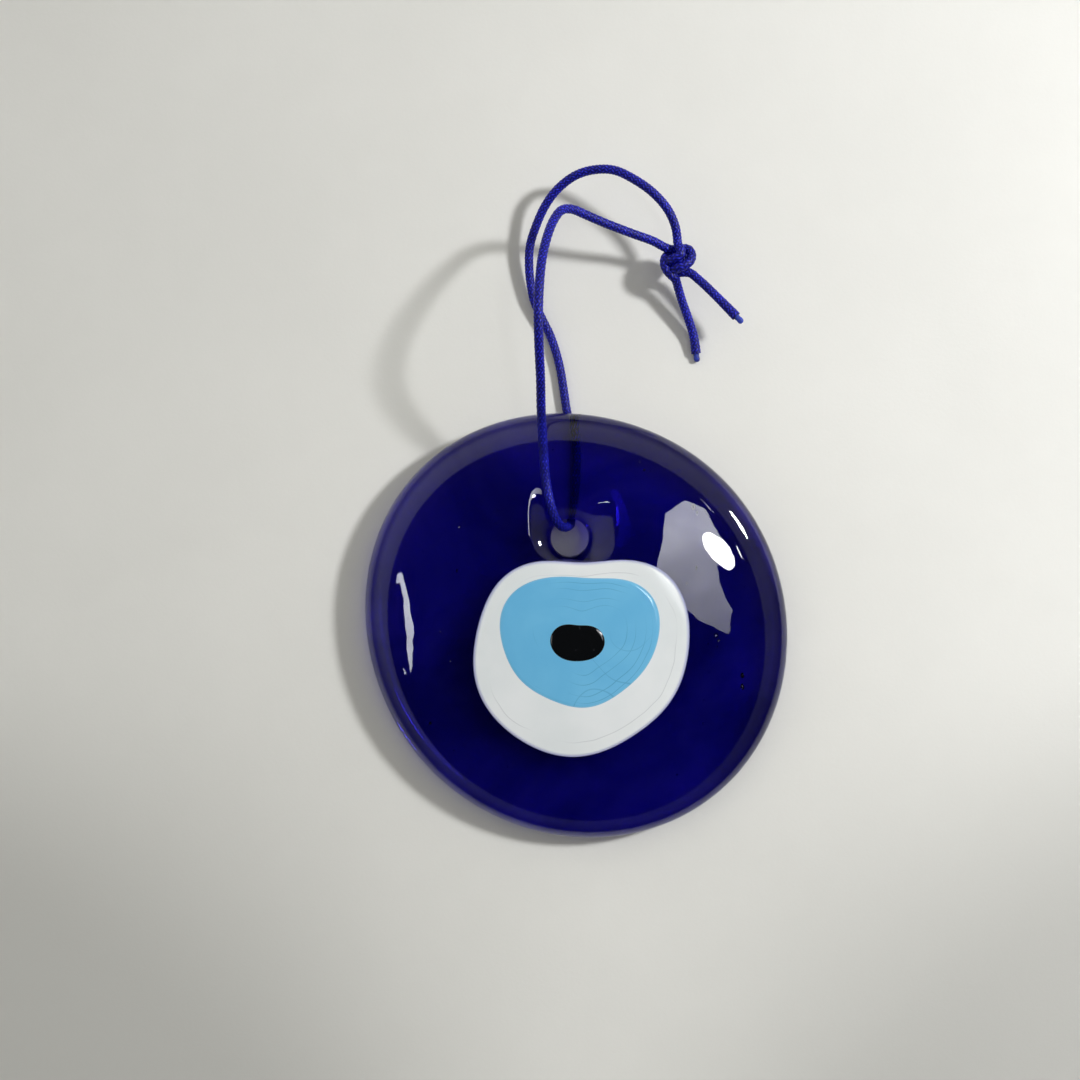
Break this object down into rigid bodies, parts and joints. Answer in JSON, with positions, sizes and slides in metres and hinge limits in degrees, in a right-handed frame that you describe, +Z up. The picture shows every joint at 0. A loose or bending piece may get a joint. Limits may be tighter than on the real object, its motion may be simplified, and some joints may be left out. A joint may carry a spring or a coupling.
{
  "type": "evil eye ornament",
  "caption": "Round cobalt glass disc with a white, light blue and black glass eye, on a knotted braided hanging cord.",
  "frame": {"origin": "on the table under the middle of the glass disc, cord left out", "axes": "+Z up from the table through the face of the eye, +Y from the eye to the hanging hole, +X to the right of the eye"},
  "size_m": [0.0802, 0.1268, 0.027],
  "materials": {
    "cobalt_glass": "deep cobalt blue see-through glass, fire polished, a few small bubbles",
    "white_glass": "opaque milky white glass, glossy",
    "light_blue_glass": "opaque light blue glass with faint darker flow lines, glossy",
    "black_glass": "opaque black glass, glossy",
    "blue_braid": "round braided synthetic cord, royal blue, slightly shiny",
    "melted_core": "melted cord core, lighter blue"
  },
  "bodies": {
    "glass": {"cobalt_glass_body": "cobalt_glass", "white_glass_layer": "white_glass", "light_blue_glass_iris": "light_blue_glass", "black_glass_pupil": "black_glass"},
    "cord": {"cord_front_strand": "blue_braid", "cord_rear_strand": "blue_braid", "cord_knot": "blue_braid", "cord_lower_tail": "blue_braid", "cord_right_tail": "blue_braid", "lower_tail_core": "melted_core", "right_tail_core": "melted_core"}
  },
  "joints": [
    {"name": "cord_swing", "type": "hinge", "parent": "glass", "child": "cord", "pos_m": [-0.00129, 0.0169, 0.00563], "axis": [0, -0.0298, 0.9996], "range_deg": [-25, 25]}
  ]
}
